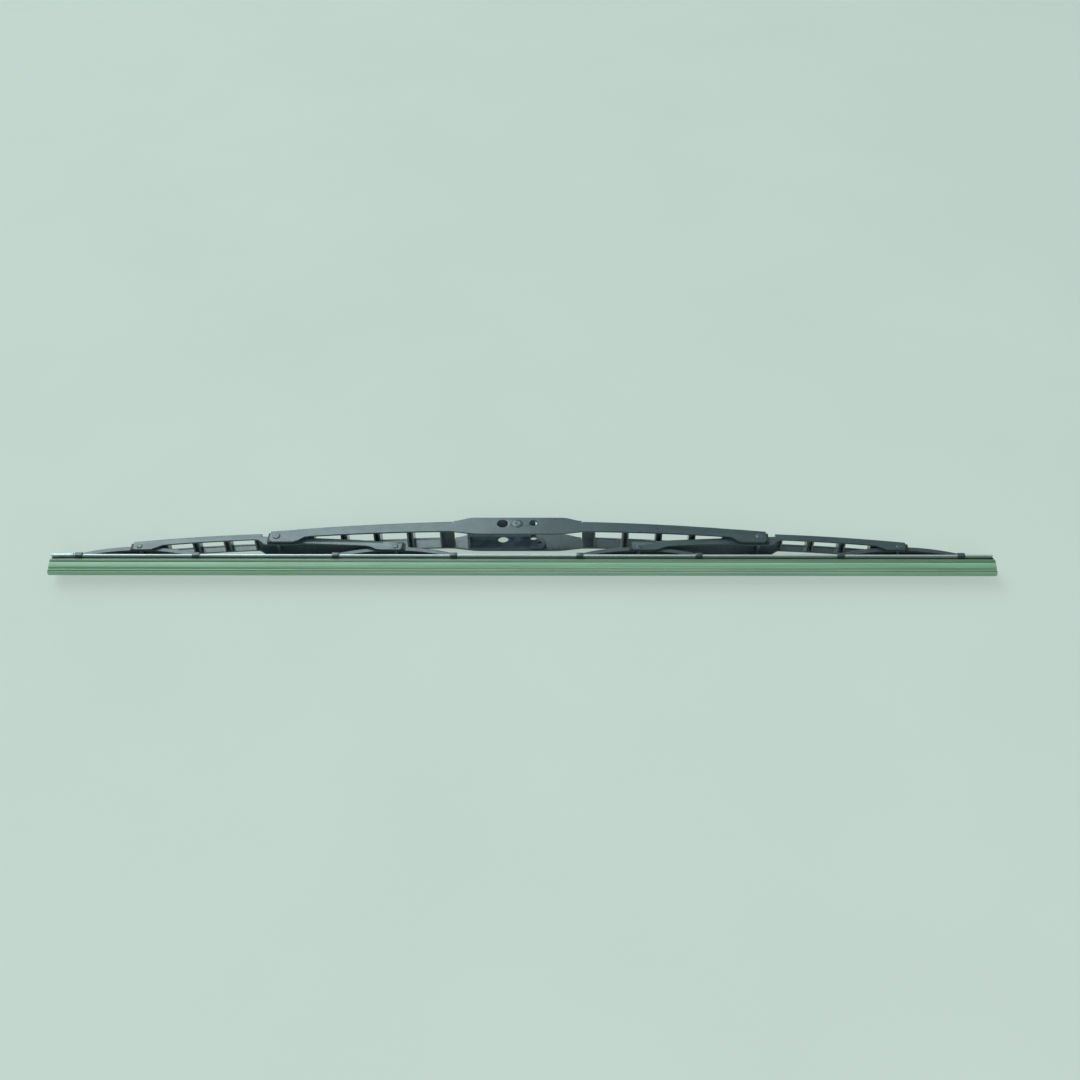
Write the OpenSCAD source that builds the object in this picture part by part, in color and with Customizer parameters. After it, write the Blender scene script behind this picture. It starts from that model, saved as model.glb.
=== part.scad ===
// Windscreen wiper blade with a pressed steel bridge frame, lying on its side.
// X runs along the blade, Y from the rubber lip to the back of the bridge, Z up from the table.
// Every pivot of the frame is parallel to Z.

/* [Lever layout] */
// Distance from the hub pin to each bridge rivet
bridge_arm = 141.5; // [121.5:1:161.5]
// Distance from a bridge rivet out to the outer yoke rivet
outer_arm = 80; // [77:0.5:90]
// Distance from a bridge rivet in to the inner yoke rivet
inner_arm = 70.5; // [66:0.5:76]
// Distance from a yoke rivet to the middle of each of its claws
yoke_arm = 34.4; // [32:0.2:37]
// Length of wiping strip past the outermost claw
strip_overhang = 19.1; // [17:0.1:25]

/* [Heights above the lip] */
// Underside of the steel rails
rail_seat = 11; // [10.6:0.1:11.6]
// Height of the yoke rivets above the rail underside
yoke_rise = 6.7; // [6.5:0.1:7.2]
// Height of the bridge rivets above the yoke rivets
secondary_rise = 6.1; // [5.8:0.1:7]
// Height of the hub pin above the bridge rivets
bridge_rise = 10.8; // [10.4:0.1:11.4]

/* [Main bridge] */
// Outside width of the main bridge channel
bridge_w = 14.6; // [14.2:0.1:15.4]
// Sheet thickness of the main bridge
bridge_t = 1; // [0.9:0.05:1.1]
// Radius of the bow of the main bridge
bridge_bow = 1180; // [1100:10:1400]
// Top of the channel above the bridge rivet, measured at the rivet
bridge_cap = 5.15; // [5:0.05:5.6]
// Depth of the flanges next to the hub
bridge_flange = 8.5; // [8:0.1:9]
// How much shallower the flanges are next to the end pads
bridge_taper = 1.8; // [1.4:0.1:2.2]
// Length of channel past the bridge rivet
bridge_end = 3.9; // [3.6:0.1:4.4]
// Depth of the end pads below the bridge rivet
bridge_pad = 4.4; // [4:0.1:4.7]
// Length of solid web between the last window and the bridge rivet
bridge_solid = 21.1; // [20:0.1:26]
// Width of the web posts between the windows
bridge_post = 3.9; // [3.5:0.1:6]
// Number of windows in each arm
bridge_windows = 4; // [3:1:5]
// Outside radius of the folded edges
fold_r = 1.15; // [1.05:0.05:1.2]
// Distance from the outside of a flange to the windows in the web
window_edge = 1.25; // [1.25:0.05:1.6]
// Radius of the lower corners of the channel ends
corner_r = 2.5; // [1.5:0.1:3]

/* [Hub] */
// Half length of the raised part of the hub
hub_half = 26; // [22:0.5:28]
// Length of the slope from the raised hub down to the arms
hub_slope = 12.2; // [10.2:0.5:13.7]
// Height of the raised hub above the hub pin
hub_top = 5.1; // [5:0.1:5.5]
// Depth of the hub flanges below the hub pin
hub_drop = 8.5; // [8.1:0.1:8.8]
// Length of solid web between the hub opening and the first window
hub_post = 7.7; // [6:0.1:10]
// Depth that each hub flange is coined below the faces of the arms
hub_coin = 0.02; // [0.01:0.01:0.05]
// Length over which the coined flange runs out into the arm
hub_root = 1.5; // [1:0.5:3]
// Width of the relief slit beside the fold of each arm
hub_relief = 0.3; // [0.2:0.1:0.6]
// Diameter of the large side pin hole
side_hole_d = 6.6; // [6.35:0.05:7]
// Distance of the large side pin hole from the hub pin
side_hole_x = 9; // [8.4:0.1:9.5]
// Diameter of the small side pin hole
small_hole_d = 4.9; // [4.5:0.1:5.5]
// Distance of the small side pin hole from the hub pin
small_hole_x = 9.2; // [8.4:0.1:9.8]
// Height of the small side pin hole above the hub pin
small_hole_rise = 0.6; // [0:0.1:1]
// Diameter of the hub pin
hub_pin_d = 4.8; // [4.4:0.1:5]

/* [Secondary bridges] */
// Outside width of the secondary bridge channels
secondary_w = 9.8; // [9.6:0.05:9.9]
// Sheet thickness of the secondary bridges
secondary_t = 0.9; // [0.8:0.05:0.95]
// Radius of the bow of the outer arms
secondary_bow = 900; // [800:10:1100]
// Radius of the bow of the inner arms
tuck_bow = 2000; // [1800:50:3000]
// Height of the outer arm above the bridge rivet, at the step beside the bridge end
step_cap = 5; // [4.7:0.05:5.3]
// Height of the inner arm above the bridge rivet, at the rivet
tuck_cap = 2.5; // [2.48:0.02:2.6]
// Gap between the bridge end and the step in the secondary bridge
step_gap = 5.9; // [5.3:0.1:6.5]
// Top of the channel above the yoke rivets, measured at the rivets
secondary_cap = 4.7; // [4.5:0.05:5.1]
// Depth of the flanges of the outer arms
outer_flange = 5; // [4.6:0.1:5.4]
// Depth of the flanges of the inner arms
inner_flange = 5.2; // [4.6:0.1:5.6]
// Length of channel past the outer yoke rivet
outer_end = 4.2; // [3.8:0.1:5]
// Length of channel past the inner yoke rivet
inner_end = 4.2; // [3.8:0.1:5]
// Depth of the end pads below the yoke rivets
yoke_pad = 2.4; // [2.3:0.1:2.8]
// Length of solid web between the last window and the outer yoke rivet
outer_solid = 15.9; // [15:0.1:20]
// Width of the posts between the windows of the outer arms, and from the step to the first window
outer_post = 4.1; // [3.6:0.1:5]
// Number of windows in each outer arm
outer_windows = 3; // [2:1:4]

/* [Yokes and claws] */
// Outside width of the yoke channels
yoke_w = 6.8; // [6.6:0.05:6.9]
// Sheet thickness of the yokes
yoke_t = 0.8; // [0.7:0.05:0.85]
// Top of the yoke above its rivet
yoke_cap = 1.9; // [1.85:0.01:2.1]
// Radius of the bow of the yokes
yoke_bow = 108; // [105:1:113]
// Depth of the yoke flanges
yoke_flange = 3.6; // [3.2:0.1:4]
// Length of each claw along the rails
claw_len = 4; // [3.6:0.1:5]
// Sheet thickness of the claws
claw_t = 0.75; // [0.6:0.05:0.9]
// Gap from the claw roofs to the lower edge of the yoke flanges
yoke_rail_gap = 0.2; // [0.1:0.05:0.4]

/* [Rivets and liners] */
// Diameter of the bridge rivets
bridge_rivet_d = 3; // [2.8:0.05:3.1]
// Diameter of the bridge rivet heads
bridge_head_d = 4.6; // [4.2:0.1:5.4]
// Diameter of the yoke rivets
yoke_rivet_d = 1.9; // [1.7:0.05:1.95]
// Diameter of the yoke rivet heads
yoke_head_d = 3.4; // [3:0.1:4]
// Diameter of the hub pin heads
hub_head_d = 6.6; // [6:0.1:7.2]
// Height of the domed rivet heads
head_h = 0.5; // [0.4:0.05:0.7]
// Length of a liner past the end of its channel
liner_proud = 1.4; // [1:0.1:1.8]
// Length of a liner behind its rivet
liner_back = 8; // [6:0.5:9]
// Height of a liner above the lower edge of its channel
liner_rise = 0.7; // [0.5:0.1:1]

/* [Wiping strip] */
// Thickness of the steel rails
rail_t = 1; // [0.9:0.05:1.1]
// Overall width of the rail pair
rails_w = 8.5; // [8.3:0.1:8.8]
// Width of the rubber web between the rails
rail_web = 3.4; // [3:0.1:3.6]
// Width of the rubber base under the rails
base_w = 5.4; // [5:0.1:5.8]
// Width of the rubber head over the rails
head_w = 4.5; // [4.2:0.05:4.7]
// Height of the rubber head over the rails
rubber_head = 0.9; // [0.5:0.1:1]
// Thickness of the flexible rubber neck
neck_w = 1.4; // [1.2:0.1:1.6]
// Width of the rubber wedge above the lip
wedge_w = 3.8; // [3.4:0.1:4]
// Thickness of the wiping lip
lip_w = 0.7; // [0.6:0.05:0.9]
// Gap from the wiping lip to the front wall of the guard
lip_gap = 0.4; // [0.3:0.1:0.6]
// Length of the sloping part of the wedge
wedge_slope = 1.5; // [1.2:0.1:1.8]
// Length of the straight part of the wedge
wedge_land = 0.6; // [0.4:0.1:0.7]
// Gap from the wedge, and from the rubber base, to the back wall of the guard
guard_gap = 0.3; // [0.2:0.05:0.4]
// How far the rails and the rubber head stop short of the end of the strip and of the end clip
end_gap = 1; // [0.5:0.1:2]

/* [Guard] */
// Height of the guard
guard_h = 7.5; // [7.3:0.1:7.8]
// Width of the guard at its open back
guard_back_w = 8; // [7.6:0.1:8.4]
// Width of the guard at its front
guard_front_w = 2.8; // [2.6:0.1:3.2]
// Wall thickness of the guard
guard_wall = 0.7; // [0.6:0.05:0.8]
// Width of the slot in the back of the guard
guard_slot = 2.2; // [2:0.1:2.6]
// Distance from each end of the strip to the guard
guard_inset = 2; // [0.5:0.1:3]

/* [End clip] */
// Length of the rail end clip
clip_len = 13; // [9:0.5:14]
// Sheet thickness of the rail end clip
clip_t = 0.5; // [0.4:0.05:0.6]
// Distance from the end of the strip to the clip
clip_inset = 3; // [1:0.5:4]

/* [Hook adapter] */
// Length of the adapter on the far side of the hub pin
adapter_back = 29.5; // [26:0.5:30]
// Length of the adapter cheeks in front of the hub pin
adapter_front = 8; // [7:0.5:8]
// Height of the adapter cheeks
adapter_h = 13.4; // [13:0.1:13.6]
// Top of the adapter cheeks above the hub pin
adapter_top = 4.9; // [4.8:0.1:5]
// Thickness of the adapter cheeks
cheek_t = 1.5; // [1.2:0.1:1.6]
// Length of the release tongue past the cheeks
tongue_len = 8.8; // [7:0.1:9.5]
// Thickness of the release tongue
tongue_t = 2.2; // [1.8:0.1:3]
// Radius of the round nose of the tongue
nose_r = 3.8; // [3.2:0.1:4]
// Height of the middle of the tongue below the hub pin
tongue_drop = 4.2; // [3.8:0.1:4.4]
// Diameter of the hole in the nose of the tongue
nose_hole_d = 2.4; // [2:0.1:3]
// Thickness of the end wall of the adapter
adapter_wall = 1.5; // [1.2:0.1:2]
// Thickness of the round core round the hub pin
core_wall = 1.9; // [1.5:0.1:2.2]
// Height of the bar that the hook closes round
bar_h = 3; // [2.4:0.1:3.6]
// Thickness of the roof over the side pin holes
roof_t = 1.1; // [0.8:0.1:1.1]
// Reach of the roof past the cheeks
roof_front = 2.4; // [1:0.1:3]
// Reach of the roof past the edge of the large side pin hole
roof_back = 1; // [0.5:0.1:2]

/* [Fits] */
// Radial clearance of each pivot hole round its rivet
pivot_fit = 0.05; // [0.03:0.01:0.08]
// Radial clearance of a fixed rivet in its hole
rivet_fit = 0.01; // [0.005:0.005:0.02]
// Side clearance of a liner between its channels
liner_fit = 0.05; // [0.03:0.01:0.06]
// Clearance of the claws round the rails
claw_fit = 0.15; // [0.1:0.01:0.2]
// Clearance of the end clip round the rails
clip_fit = 0.1; // [0.05:0.01:0.15]
// Clearance of the rubber between the fingers of the claws and in the end clip
rubber_fit = 0.2; // [0.15:0.01:0.25]
// Upward swing of a tucked arm, in degrees, that the main bridge leaves room for
tuck_swing = 3.6; // [3.5:0.1:4]
// Clearance of the cross tabs over a tucked arm at that swing
swing_gap = 0.3; // [0.2:0.05:0.4]
// Side clearance of the adapter in the hub
adapter_fit = 0.1; // [0.05:0.01:0.15]
// How much wider the side pin holes are in the adapter than in the hub
pin_room = 0.6; // [0.4:0.1:0.8]

/* [Hidden] */

// Smoothness of small round features, and of the long bowed sheets
small_fn = 48;
bow_fn = 720;
// Overcut that lets a cutter pass right through a face
over = 1;

// Pivot places, measured from the hub pin and from the lip
outer_x = bridge_arm + outer_arm;
inner_x = bridge_arm - inner_arm;
yoke_y = rail_seat + yoke_rise;
bridge_y = yoke_y + secondary_rise;
hub_y = bridge_y + bridge_rise;

// Whole strip and whole blade
strip_half = outer_x + yoke_arm + strip_overhang;
rail_top = rail_seat + rail_t;
blade_h = hub_y + hub_top;
blade_half_w = bridge_w / 2 + head_h;

// Ends of the levers
bridge_tip = bridge_arm + bridge_end;
outer_tip = outer_x + outer_end;
inner_tip = inner_x - inner_end;
step_x = bridge_tip + step_gap;

// Hub opening and windows
hub_open = hub_half + hub_slope;
window_start = hub_open + hub_post;
bridge_window = (bridge_arm - bridge_solid - window_start + bridge_post) / bridge_windows - bridge_post;
outer_window_start = step_x + outer_post;
outer_window = (outer_x - outer_solid - outer_window_start + outer_post) / outer_windows - outer_post;

// Height of a bow of radius r, apex at (cx, top), at the place x
function bow_y(x, cx, top, r) = top - r + sqrt(r * r - (x - cx) * (x - cx));

// Apex of a bow of radius r that falls from (x0, y0) to (x1, y1)
function bow_apex(x0, y0, x1, y1, r) =
    let (half = norm([x1 - x0, y1 - y0]) / 2,
         tilt = atan2(y1 - y0, x1 - x0),
         mid = [(x0 + x1) / 2, (y0 + y1) / 2],
         drop = sqrt(r * r - half * half),
         side = x1 > x0 ? 1 : -1)
    [mid[0] + side * drop * sin(tilt), mid[1] - side * drop * cos(tilt) + r];

// Smooth step from 0 to 1 as x goes from a to b
function ease(x, a, b) =
    let (share = min(1, max(0, (x - a) / (b - a))))
    (1 - cos(180 * share)) / 2;

// Tops of the bows
bridge_top = bridge_y + bridge_cap + bridge_bow
           - sqrt(bridge_bow * bridge_bow - bridge_arm * bridge_arm);
outer_bow = bow_apex(step_x, bridge_y + step_cap, outer_x, yoke_y + secondary_cap, secondary_bow);
inner_bow = bow_apex(bridge_arm, bridge_y + tuck_cap, inner_x, yoke_y + secondary_cap, tuck_bow);
yoke_top = yoke_y + yoke_cap;

// Height of the folded tabs of the posts above the lower edge of the flanges
tab_rise = 0.4;
// Length of the S-curves where a flange deepens to its pad
pad_slope = 8;
// Half length of the pads round the bridge rivets, and length of the pads beside the yoke rivets
bridge_pad_half = 10;
outer_pad_half = 6;
inner_pad_half = 9;
// Length over which the hub runs out into the arm on each side of its slope
hub_blend = 4;
// Depth of the top of a hub flange below the fold of the arm it runs into
root_drop = 0.3;
// Reach of the S-curve past the step of a secondary bridge, and its length on the inner side
outer_hip = 3;
inner_hip = 12;
// Spacing of the points along the lower edge of a flange, and along its S-curve at the step
arm_step = 3;
hip_step = 1;
// How far the rubber web runs on into the parts below the rails
web_root = 0.4;

// Lays the blade on its side with the middle of its height over the origin
module lay() {
    translate([0, -blade_h / 2, blade_half_w])
        children();
}

// Section of a folded sheet: x is the height, y the width, its back at x = 0
module fold_section(w, t, depth, r) {
    difference() {
        fold_outline(w, depth, r);
        translate([-depth - t, t - w / 2])
            square([depth, w - 2 * t]);
    }
}

module fold_outline(w, depth, r) {
    translate([-depth, -w / 2])
        square([depth - r, w]);
    translate([-depth, -w / 2 + r])
        square([depth, w - 2 * r]);
    for (side = [-1, 1])
        translate([-r, side * (w / 2 - r)])
            circle(r = r, $fn = small_fn);
}

// Channel bowed round a far centre, its apex at (cx, top), from x0 to x1
module bowed_channel(cx, top, r, x0, x1, w, t, depth) {
    a0 = acos((max(x0, x1) - cx) / r);
    a1 = acos((min(x0, x1) - cx) / r);
    translate([cx, top - r, 0])
        rotate([0, 0, a0])
            rotate_extrude(angle = a1 - a0, $fn = bow_fn)
                translate([r, 0])
                    fold_section(w, t, depth, fold_r);
}

// Side outline of a lever as a solid as wide as w
module outline(w, points) {
    translate([0, 0, -w / 2])
        linear_extrude(w)
            polygon(points);
}

// Plate of thickness t and depth up to y_top that closes a channel crosswise at x
module cross_tab(x, t, w, y_low, y_top) {
    translate([x, y_low, -w / 2])
        cube([t, y_top - y_low, w]);
}

// Window through the web from x on, as wide as w
module window(x, len, w, y_low, y_top) {
    translate([x, y_low, -w / 2])
        cube([len, y_top - y_low, w]);
}

// Round hole or shank across the whole width
module across(x, y, d, w) {
    translate([x, y, -w / 2])
        cylinder(d = d, h = w, $fn = small_fn);
}

// Rivet across a channel of outside width w, with a shallow dome on each end
module rivet(x, y, d, head_d, w) {
    dome_r = (head_d * head_d / 4 + head_h * head_h) / (2 * head_h);
    across(x, y, d, w);
    for (side = [0, 1])
        translate([x, y, 0])
            mirror([0, 0, side])
                translate([0, 0, w / 2])
                    intersection() {
                        cylinder(d = head_d, h = head_h, $fn = small_fn);
                        translate([0, 0, head_h - dome_r])
                            sphere(r = dome_r, $fn = 2 * small_fn);
                    }
}

// Top of the tucked arm of a secondary bridge at x, swung up into the main bridge
function tucked_top(x) =
    bow_y(x, inner_bow[0], inner_bow[1], tuck_bow) + (bridge_arm - x) * tan(tuck_swing);

// Lower edge of the main bridge arm at x
function bridge_low(x) =
    let (arm = bow_y(x, 0, bridge_top, bridge_bow)
             - bridge_flange + bridge_taper * (x - hub_open) / (bridge_arm - hub_open),
         hub = hub_y - hub_drop,
         pad = bridge_y - bridge_pad,
         past_hub = ease(x, hub_half - hub_blend, hub_open + hub_blend),
         at_pad = ease(x, bridge_arm - bridge_pad_half - pad_slope, bridge_arm - bridge_pad_half))
    (hub * (1 - past_hub) + arm * past_hub) * (1 - at_pad) + pad * at_pad;

// Upper edge of the hub flanges at x, down to the back of the arm
function hub_high(x) =
    let (down = ease(x, hub_half, hub_open))
    blade_h * (1 - down) + bow_y(x, 0, bridge_top, bridge_bow) * down;

// Points of the round lower corner at (x, y) of a flange that ends there, on its +X or -X side
function end_corner(x, y, r, side) =
    [for (a = side > 0 ? [0 : 15 : 90] : [90 : -15 : 0])
        [x - side * r * (1 - sin(a)), y + r * (1 - cos(a))]];

module main_bridge_half() {
    reach = bridge_top + over;
    slope_end = hub_open - hub_relief;
    root_high = bow_y(hub_open + hub_root, 0, bridge_top, bridge_bow) - fold_r - root_drop;
    difference() {
        union() {
            intersection() {
                bowed_channel(0, bridge_top, bridge_bow, hub_open - over, bridge_tip + over,
                              bridge_w, bridge_t, blade_h);
                outline(bridge_w, concat(
                    [[hub_open, reach]],
                    [for (x = [hub_open : arm_step : bridge_tip - corner_r - over]) [x, bridge_low(x)]],
                    end_corner(bridge_tip, bridge_y - bridge_pad, corner_r, 1),
                    [[bridge_tip, reach]]));
            }
            for (side = [-1, 1])
                translate([0, 0, side * (bridge_w - bridge_t) / 2])
                    outline(bridge_t - 2 * hub_coin, concat(
                        [[0, hub_y - hub_drop]],
                        [for (x = [hub_half - hub_blend : arm_step : hub_open - over]) [x, bridge_low(x)]],
                        [[hub_open + hub_root, bridge_low(hub_open) + hub_root / 3],
                         [hub_open + hub_root, root_high], [slope_end, root_high]],
                        [for (i = [8 : -1 : 0]) let (x = hub_half + (slope_end - hub_half) * i / 8)
                            [x, hub_high(x)]],
                        [[0, blade_h]]));
            for (i = [0 : bridge_windows - 1]) {
                x0 = window_start + i * (bridge_window + bridge_post);
                for (x = [x0 - bridge_t, x0 + bridge_window])
                    cross_tab(x, bridge_t, bridge_w - bridge_t,
                              max(bridge_low(x) + tab_rise, tucked_top(x) + swing_gap),
                              bow_y(x, 0, bridge_top, bridge_bow) - bridge_t / 2);
            }
        }
        for (i = [0 : bridge_windows - 1])
            window(window_start + i * (bridge_window + bridge_post), bridge_window,
                   bridge_w - 2 * window_edge, bridge_y, 2 * reach);
        across(bridge_arm, bridge_y, bridge_rivet_d + 2 * rivet_fit, 2 * bridge_w);
    }
}

module main_bridge() {
    color("#33393f")
        lay()
            difference() {
                union() {
                    main_bridge_half();
                    mirror([1, 0, 0])
                        main_bridge_half();
                }
                across(0, hub_y, hub_pin_d + 2 * rivet_fit, 2 * bridge_w);
                across(-side_hole_x, hub_y, side_hole_d, 2 * bridge_w);
                across(small_hole_x, hub_y + small_hole_rise, small_hole_d, 2 * bridge_w);
            }
}

// Lower edge of the outer arm, and of the inner arm, of a secondary bridge at x
function outer_low(x) =
    let (arm = bow_y(x, outer_bow[0], outer_bow[1], secondary_bow) - outer_flange,
         hip = ease(x, bridge_tip + liner_proud, step_x + outer_hip),
         at_pad = ease(x, outer_x - outer_pad_half - pad_slope, outer_x - outer_pad_half))
    ((bridge_y - bridge_pad) * (1 - hip) + arm * hip) * (1 - at_pad)
    + (yoke_y - yoke_pad) * at_pad;

function inner_low(x) =
    let (arm = bow_y(x, inner_bow[0], inner_bow[1], tuck_bow) - inner_flange,
         hip = ease(x, bridge_arm - outer_pad_half - inner_hip, bridge_arm - outer_pad_half),
         at_pad = ease(x, inner_x + inner_pad_half, inner_x + inner_pad_half + pad_slope))
    ((yoke_y - yoke_pad) * (1 - at_pad) + arm * at_pad) * (1 - hip)
    + (bridge_y - bridge_pad) * hip;

module secondary_bridge(side) {
    reach = bridge_y + step_cap + over;
    color("#33393f")
        lay()
            mirror([side < 0 ? 1 : 0, 0, 0])
                difference() {
                    union() {
                        intersection() {
                            bowed_channel(outer_bow[0], outer_bow[1], secondary_bow, step_x,
                                          outer_tip, secondary_w, secondary_t, blade_h);
                            outline(secondary_w, concat(
                                [[step_x, 2 * reach]],
                                [for (x = [step_x : hip_step : step_x + outer_hip]) [x, outer_low(x)]],
                                [for (x = [step_x + outer_hip + arm_step : arm_step : outer_tip - corner_r])
                                    [x, outer_low(x)]],
                                end_corner(outer_tip, yoke_y - yoke_pad, corner_r, 1),
                                [[outer_tip, 2 * reach]]));
                        }
                        intersection() {
                            bowed_channel(inner_bow[0], inner_bow[1], tuck_bow, inner_tip,
                                          step_x + secondary_t, secondary_w, secondary_t, blade_h);
                            outline(secondary_w, concat(
                                [[step_x + secondary_t, 2 * reach], [inner_tip, 2 * reach]],
                                end_corner(inner_tip, yoke_y - yoke_pad, corner_r, -1),
                                [for (x = [inner_tip + corner_r + over : arm_step : bridge_arm])
                                    [x, inner_low(x)]],
                                [for (x = [bridge_tip : hip_step : step_x]) [x, outer_low(x)]],
                                [[step_x + secondary_t, outer_low(step_x + secondary_t)]]));
                        }
                        for (i = [0 : outer_windows - 1]) {
                            x0 = outer_window_start + i * (outer_window + outer_post);
                            for (x = [x0 - secondary_t, x0 + outer_window])
                                cross_tab(x, secondary_t, secondary_w - secondary_t,
                                          outer_low(x + secondary_t) + tab_rise,
                                          bow_y(x, outer_bow[0], outer_bow[1], secondary_bow)
                                          - secondary_t / 2);
                        }
                        cross_tab(step_x, secondary_t, secondary_w - secondary_t,
                                  bridge_y + tuck_cap - secondary_t, bridge_y + step_cap - secondary_t / 2);
                    }
                    for (i = [0 : outer_windows - 1])
                        window(outer_window_start + i * (outer_window + outer_post), outer_window,
                               secondary_w - 2 * window_edge, yoke_y, 2 * reach);
                    across(bridge_arm, bridge_y, bridge_rivet_d + 2 * pivot_fit, 2 * secondary_w);
                    for (x = [inner_x, outer_x])
                        across(x, yoke_y, yoke_rivet_d + 2 * rivet_fit, 2 * secondary_w);
                }
}

// Fork shaped lever with a claw on each end, its rivet at x
module yoke(x) {
    tip = yoke_arm + claw_len / 2;
    fork = tip - claw_len - over;
    low = rail_top + claw_fit + yoke_rail_gap;
    color("#2c3136")
        lay()
            translate([x, 0, 0])
                difference() {
                    union() {
                        intersection() {
                            bowed_channel(0, yoke_top, yoke_bow, -tip, tip,
                                          yoke_w, yoke_t, yoke_flange + 4);
                            outline(yoke_w, concat(
                                [[-tip, 2 * yoke_top]],
                                [for (s = [-tip : 2 : tip + over])
                                    [min(s, tip), max(low, bow_y(min(s, tip), 0, yoke_top, yoke_bow)
                                                  - yoke_flange)]],
                                [[tip, 2 * yoke_top]]));
                        }
                        for (side = [-1, 1])
                            translate([side * yoke_arm, 0, 0])
                                claw();
                    }
                    for (x = [-tip - over, fork])
                        window(x, tip + over - fork, yoke_w - 2 * yoke_t, rail_seat, 2 * yoke_top);
                    across(0, yoke_y, yoke_rivet_d + 2 * pivot_fit, 2 * yoke_w);
                }
}

// Pair of folded fingers that wrap the edges of the rails
module claw() {
    inner_w = rails_w + 2 * claw_fit;
    roof = rail_top + claw_fit;
    floor_y = rail_seat - claw_fit;
    translate([-claw_len / 2, 0, 0])
        rotate([90, 0, 90])
            linear_extrude(claw_len)
                difference() {
                    translate([roof + claw_t, 0])
                        fold_outline(inner_w + 2 * claw_t, roof - floor_y + 2 * claw_t, claw_t);
                    translate([floor_y, -inner_w / 2])
                        square([roof - floor_y, inner_w]);
                    translate([0, -base_w / 2 - rubber_fit])
                        square([rail_seat, base_w + 2 * rubber_fit]);
                    translate([rail_seat, -head_w / 2 - rubber_fit])
                        square([yoke_top, head_w + 2 * rubber_fit]);
                }
}

// Nylon liner round a lever inside the end of a wider channel. Its cheeks run from behind the rivet
// at x to past the end of the channel, and fall from the height roof to the height nose.
module liner(x, y, back, front, inside_w, lever_w, hole_d, low, roof, nose) {
    cheek = (inside_w - lever_w) / 2 - 2 * liner_fit;
    color("#17181a")
        lay()
            difference() {
                union() {
                    for (side = [0, 1])
                        mirror([0, 0, side])
                            translate([0, 0, lever_w / 2 + liner_fit])
                                linear_extrude(cheek)
                                    polygon([[back, low], [front, low], [front, nose],
                                             [x, roof], [back, roof]]);
                    translate([min(back, x), roof - cheek, -lever_w / 2 - liner_fit])
                        cube([abs(x - back), cheek, lever_w + 2 * liner_fit]);
                }
                across(x, y, hole_d + 2 * rivet_fit, 2 * inside_w);
            }
}

module bridge_liner(side) {
    function under_web(x) = bow_y(x, 0, bridge_top, bridge_bow) - bridge_t - liner_fit;
    front = bridge_tip + liner_proud;
    mirror([side < 0 ? 1 : 0, 0, 0])
        liner(bridge_arm, bridge_y, bridge_arm - liner_back, front,
              bridge_w - 2 * bridge_t, secondary_w, bridge_rivet_d,
              bridge_y - bridge_pad + liner_rise, under_web(bridge_arm), under_web(front));
}

// The bow of the arm over the yoke has its apex at bow and the radius r
module yoke_liner(side, x, tip, dir, bow, r) {
    function under_web(x) = bow_y(x, bow[0], bow[1], r) - secondary_t - liner_fit;
    front = tip + dir * liner_proud;
    mirror([side < 0 ? 1 : 0, 0, 0])
        liner(x, yoke_y, x - dir * liner_back, front,
              secondary_w - 2 * secondary_t, yoke_w, yoke_rivet_d,
              yoke_y - yoke_pad + liner_rise, under_web(x), under_web(front));
}

module outer_liner(side) {
    yoke_liner(side, outer_x, outer_tip, 1, outer_bow, secondary_bow);
}

module inner_liner(side) {
    yoke_liner(side, inner_x, inner_tip, -1, inner_bow, tuck_bow);
}

module hub_pin() {
    color("#3a4046")
        lay()
            rivet(0, hub_y, hub_pin_d, hub_head_d, bridge_w);
}

module bridge_rivet(side) {
    color("#3a4046")
        lay()
            rivet(side * bridge_arm, bridge_y, bridge_rivet_d, bridge_head_d, bridge_w);
}

module yoke_rivet(x) {
    color("#3a4046")
        lay()
            rivet(x, yoke_y, yoke_rivet_d, yoke_head_d, secondary_w);
}

// Moulded adapter that a hooked wiper arm wraps round; it clips on the hub pin
module hook_adapter() {
    w = bridge_w - 2 * bridge_t - 2 * adapter_fit;
    roof_y = hub_y + adapter_top;
    low = roof_y - adapter_h;
    nose_x = adapter_front + tongue_len - nose_r;
    nose_y = hub_y - tongue_drop;
    inner_w = w - 2 * cheek_t;
    color("#1b1c1e")
        lay()
            difference() {
                union() {
                    // Cheeks with the end wall and the rounded core between them
                    difference() {
                        translate([-adapter_back, low, -w / 2])
                            cube([adapter_back + adapter_front, adapter_h, w]);
                        translate([-adapter_back + adapter_wall, low - over, -inner_w / 2])
                            cube([adapter_back + adapter_front, adapter_h + 2 * over, inner_w]);
                    }
                    across(0, hub_y, hub_pin_d + 2 * core_wall, w);
                    translate([-adapter_back, hub_y - bar_h / 2, -w / 2])
                        cube([adapter_back, bar_h, w]);
                    // Roof behind the side pin holes
                    translate([-side_hole_x - side_hole_d / 2 - roof_back, roof_y - roof_t, -w / 2])
                        cube([side_hole_x + side_hole_d / 2 + roof_back + adapter_front + roof_front,
                              roof_t, w]);
                    // Release tongue that lies along the lower flange
                    translate([0, nose_y - nose_r, -w / 2])
                        cube([nose_x, 2 * nose_r, tongue_t]);
                    translate([nose_x, nose_y, -w / 2])
                        cylinder(r = nose_r, h = tongue_t, $fn = small_fn);
                }
                across(0, hub_y, hub_pin_d + 2 * pivot_fit, 2 * w);
                across(-side_hole_x, hub_y, side_hole_d + pin_room, 2 * w);
                across(small_hole_x, hub_y + small_hole_rise, small_hole_d + pin_room, 2 * w);
                across(nose_x, nose_y, nose_hole_d, 2 * w);
            }
}

// Strip with the section given by its children, from x0 to x1
module along(x0, x1) {
    translate([x0, 0, 0])
        rotate([90, 0, 90])
            linear_extrude(x1 - x0)
                children();
}

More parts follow.
